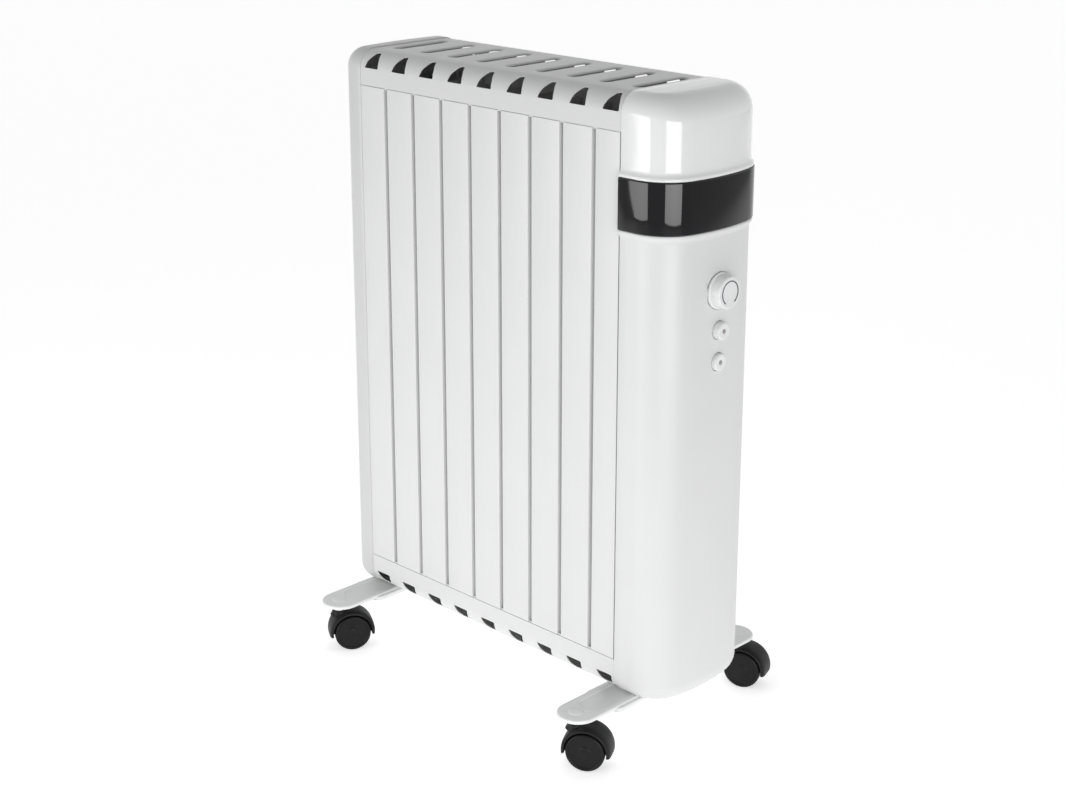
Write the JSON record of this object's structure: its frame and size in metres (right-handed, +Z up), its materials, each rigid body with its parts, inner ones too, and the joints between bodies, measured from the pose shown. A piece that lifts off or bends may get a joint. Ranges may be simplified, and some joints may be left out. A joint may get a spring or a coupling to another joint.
{
  "type": "oil filled radiator heater",
  "caption": "Upright oil filled radiator with a flat slatted front, vented top, rounded control end with black band, knob and push buttons, on swivel casters.",
  "frame": {"origin": "on the floor under the middle of the overall box, on the body's middle plane within 3 mm", "axes": "+Z up, +X towards the control end, slatted front towards -Y"},
  "size_m": [0.4574, 0.2766, 0.6305],
  "materials": {
    "white_paint": "satin white enamel",
    "white_plastic": "semi-gloss white",
    "black_gloss": "high gloss black",
    "black_plastic": "fine textured black",
    "dark_plastic": "matte dark grey",
    "steel": "zinc plated steel",
    "heater_tube": "heat darkened steel",
    "brass": "plain brass",
    "wire": "matte insulation"
  },
  "bodies": {
    "heater": {"end_cover_left": "white_plastic", "control_housing": "white_plastic", "control_cap": "white_plastic", "control_band": "black_gloss", "top_grille": "white_paint", "bottom_grille": "white_paint", "foot_left": "white_paint", "foot_right": "white_paint", "fin_1": "white_paint", "fin_2": "white_paint", "fin_3": "white_paint", "fin_4": "white_paint", "fin_5": "white_paint", "fin_6": "white_paint", "fin_7": "white_paint", "fin_8": "white_paint", "fin_9": "white_paint", "gallery_plugs": "steel", "heater_flange": "steel", "flange_bolts": "steel", "end_plate_left": "steel", "end_plate_right": "steel", "casing_screws": "steel", "control_bracket": "steel", "heating_element": "heater_tube", "thermostat_body": "dark_plastic", "upper_switch": "dark_plastic", "lower_switch": "dark_plastic", "thermal_cutout": "dark_plastic", "tip_switch": "black_plastic", "cable_gland": "black_plastic", "terminal_block": "brass", "wiring_loom": "wire", "stem_front_left": "steel", "stem_front_right": "steel", "stem_rear_left": "steel", "stem_rear_right": "steel"},
    "knob": {"thermostat_spindle": "steel", "thermostat_knob": "white_plastic", "knob_mark": "dark_plastic"},
    "upper_push": {"upper_button": "white_plastic", "upper_lens": "dark_plastic"},
    "lower_push": {"lower_button": "white_plastic", "lower_lens": "dark_plastic"},
    "caster_front_left": {"hood_front_left": "black_plastic", "axle_front_left": "steel"},
    "roller_front_left_a": {"wheel_front_left_a": "black_plastic"},
    "roller_front_left_b": {"wheel_front_left_b": "black_plastic"},
    "caster_front_right": {"hood_front_right": "black_plastic", "axle_front_right": "steel"},
    "roller_front_right_a": {"wheel_front_right_a": "black_plastic"},
    "roller_front_right_b": {"wheel_front_right_b": "black_plastic"},
    "caster_rear_left": {"hood_rear_left": "black_plastic", "axle_rear_left": "steel"},
    "roller_rear_left_a": {"wheel_rear_left_a": "black_plastic"},
    "roller_rear_left_b": {"wheel_rear_left_b": "black_plastic"},
    "caster_rear_right": {"hood_rear_right": "black_plastic", "axle_rear_right": "steel"},
    "roller_rear_right_a": {"wheel_rear_right_a": "black_plastic"},
    "roller_rear_right_b": {"wheel_rear_right_b": "black_plastic"}
  },
  "joints": [
    {"name": "thermostat_turn", "type": "hinge", "parent": "heater", "child": "knob", "pos_m": [0.21615, 0, 0.451], "axis": [1, 0, 0], "range_deg": [0, 270]},
    {"name": "upper_button_press", "type": "slide", "parent": "heater", "child": "upper_push", "axis": [-1, 0, 0], "range_m": [0, 0.004], "stiffness_N_per_m": 400, "springref_m": -0.002},
    {"name": "lower_button_press", "type": "slide", "parent": "heater", "child": "lower_push", "axis": [-1, 0, 0], "range_m": [0, 0.003], "stiffness_N_per_m": 400, "springref_m": -0.002},
    {"name": "swivel_front_left", "type": "hinge", "parent": "heater", "child": "caster_front_left", "pos_m": [-0.19075, -0.1175, 0.035], "axis": [0, 0, 1], "continuous": true},
    {"name": "roll_front_left_a", "type": "hinge", "parent": "caster_front_left", "child": "roller_front_left_a", "pos_m": [-0.18457, -0.10721, 0.019], "axis": [-0.8572, 0.515, 0], "continuous": true},
    {"name": "roll_front_left_b", "type": "hinge", "parent": "caster_front_left", "child": "roller_front_left_b", "pos_m": [-0.18457, -0.10721, 0.019], "axis": [-0.8572, 0.515, 0], "continuous": true},
    {"name": "swivel_front_right", "type": "hinge", "parent": "heater", "child": "caster_front_right", "pos_m": [0.15405, -0.1175, 0.035], "axis": [0, 0, 1], "continuous": true},
    {"name": "roll_front_right_a", "type": "hinge", "parent": "caster_front_right", "child": "roller_front_right_a", "pos_m": [0.16454, -0.11168, 0.019], "axis": [-0.4848, 0.8746, 0], "continuous": true},
    {"name": "roll_front_right_b", "type": "hinge", "parent": "caster_front_right", "child": "roller_front_right_b", "pos_m": [0.16454, -0.11168, 0.019], "axis": [-0.4848, 0.8746, 0], "continuous": true},
    {"name": "swivel_rear_left", "type": "hinge", "parent": "heater", "child": "caster_rear_left", "pos_m": [-0.19075, 0.1175, 0.035], "axis": [0, 0, 1], "continuous": true},
    {"name": "roll_rear_left_a", "type": "hinge", "parent": "caster_rear_left", "child": "roller_rear_left_a", "pos_m": [-0.20203, 0.1134, 0.019], "axis": [0.342, -0.9397, 0], "continuous": true},
    {"name": "roll_rear_left_b", "type": "hinge", "parent": "caster_rear_left", "child": "roller_rear_left_b", "pos_m": [-0.20203, 0.1134, 0.019], "axis": [0.342, -0.9397, 0], "continuous": true},
    {"name": "swivel_rear_right", "type": "hinge", "parent": "heater", "child": "caster_rear_right", "pos_m": [0.15405, 0.1175, 0.035], "axis": [0, 0, 1], "continuous": true},
    {"name": "roll_rear_right_a", "type": "hinge", "parent": "caster_rear_right", "child": "roller_rear_right_a", "pos_m": [0.16533, 0.1216, 0.019], "axis": [-0.342, 0.9397, 0], "continuous": true},
    {"name": "roll_rear_right_b", "type": "hinge", "parent": "caster_rear_right", "child": "roller_rear_right_b", "pos_m": [0.16533, 0.1216, 0.019], "axis": [-0.342, 0.9397, 0], "continuous": true}
  ]
}
